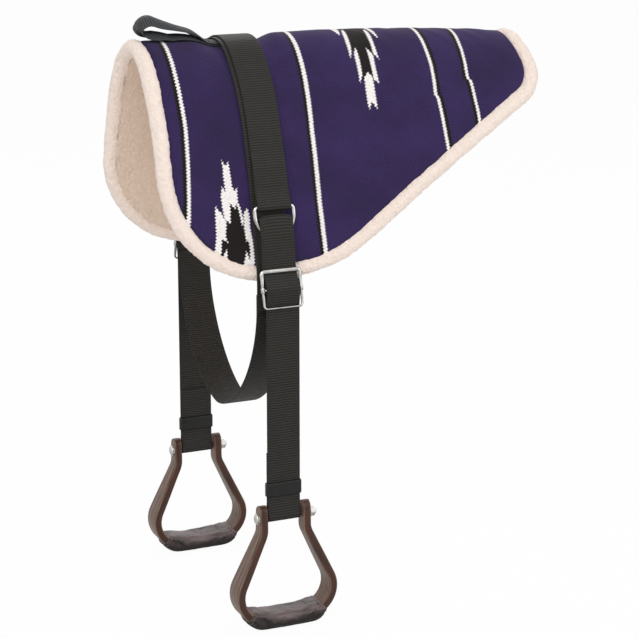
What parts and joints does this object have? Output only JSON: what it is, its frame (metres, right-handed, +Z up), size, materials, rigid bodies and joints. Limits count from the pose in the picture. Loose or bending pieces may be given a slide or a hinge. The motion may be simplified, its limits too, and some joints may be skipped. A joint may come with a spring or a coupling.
{
  "type": "bareback pad",
  "caption": "Fleece-lined woven bareback pad with web girth, web carry handle, ring-hung adjustable web straps and wooden stirrups with padded treads.",
  "frame": {"origin": "underside of the fleece at the crown of the pad, on the centre line of the stirrup web, where the pad rests on the horse's back", "axes": "+Z up; +X toward the horse's tail; +Y toward the horse's off (right) side, so the near side is -Y"},
  "size_m": [0.6242, 0.3974, 0.8721],
  "materials": {
    "fleece": "cream curly fleece",
    "felt": "dense felt",
    "woven_wool": "woven wool, purple ground with white and black stripes and stepped motifs",
    "webbing": "heavy ribbed webbing",
    "chrome": "polished",
    "walnut_wood": "stained bent wood, satin",
    "tread_leather": "padded tread leather"
  },
  "bodies": {
    "pad": {"fleece_lining": "fleece", "felt_core": "felt", "woven_cover": "woven_wool", "fleece_edge_roll": "fleece", "girth_web": "webbing", "stirrup_support_web": "webbing", "front_handle": "webbing"},
    "girth": {"girth_loop": "webbing"},
    "near_dee": {"near_ring": "chrome"},
    "near_strap": {"near_leather": "webbing", "near_buckle_frame": "chrome", "near_buckle_bar": "chrome"},
    "near_band": {"near_keeper": "webbing"},
    "near_stirrup": {"near_stirrup_frame": "walnut_wood", "near_tread_cover": "tread_leather", "near_stirrup_bolt": "chrome", "near_stirrup_nut": "chrome", "near_head_washer": "chrome", "near_nut_washer": "chrome"},
    "off_dee": {"off_ring": "chrome"},
    "off_strap": {"off_leather": "webbing", "off_buckle_frame": "chrome", "off_buckle_bar": "chrome"},
    "off_band": {"off_keeper": "webbing"},
    "off_stirrup": {"off_stirrup_frame": "walnut_wood", "off_tread_cover": "tread_leather", "off_stirrup_bolt": "chrome", "off_stirrup_nut": "chrome", "off_head_washer": "chrome", "off_nut_washer": "chrome"}
  },
  "joints": [
    {"name": "girth_sway", "type": "hinge", "parent": "pad", "child": "girth", "pos_m": [-0.006, 0, -0.332], "axis": [0, 1, 0], "range_deg": [-15, 15]},
    {"name": "near_ring_hinge", "type": "hinge", "parent": "pad", "child": "near_dee", "pos_m": [0, -0.14375, -0.19754], "axis": [-1, 0, 0], "range_deg": [0, 75]},
    {"name": "near_strap_sway", "type": "hinge", "parent": "near_dee", "child": "near_strap", "pos_m": [0, -0.14633, -0.20875], "axis": [0, 0.9744, -0.225], "range_deg": [-18, 18]},
    {"name": "near_keeper_slide", "type": "slide", "parent": "near_strap", "child": "near_band", "axis": [0, 0, 1], "range_m": [-0.01, 0.03]},
    {"name": "near_stirrup_swing", "type": "hinge", "parent": "near_strap", "child": "near_stirrup", "pos_m": [0, -0.17325, -0.645], "axis": [-1, 0, 0], "range_deg": [-60, 120]},
    {"name": "off_ring_hinge", "type": "hinge", "parent": "pad", "child": "off_dee", "pos_m": [0, 0.14375, -0.19754], "axis": [1, 0, 0], "range_deg": [0, 75]},
    {"name": "off_strap_sway", "type": "hinge", "parent": "off_dee", "child": "off_strap", "pos_m": [0, 0.14633, -0.20875], "axis": [0, 0.9744, 0.225], "range_deg": [-18, 18]},
    {"name": "off_keeper_slide", "type": "slide", "parent": "off_strap", "child": "off_band", "axis": [0, 0, 1], "range_m": [-0.01, 0.03]},
    {"name": "off_stirrup_swing", "type": "hinge", "parent": "off_strap", "child": "off_stirrup", "pos_m": [0, 0.17325, -0.645], "axis": [1, 0, 0], "range_deg": [-60, 120]}
  ]
}
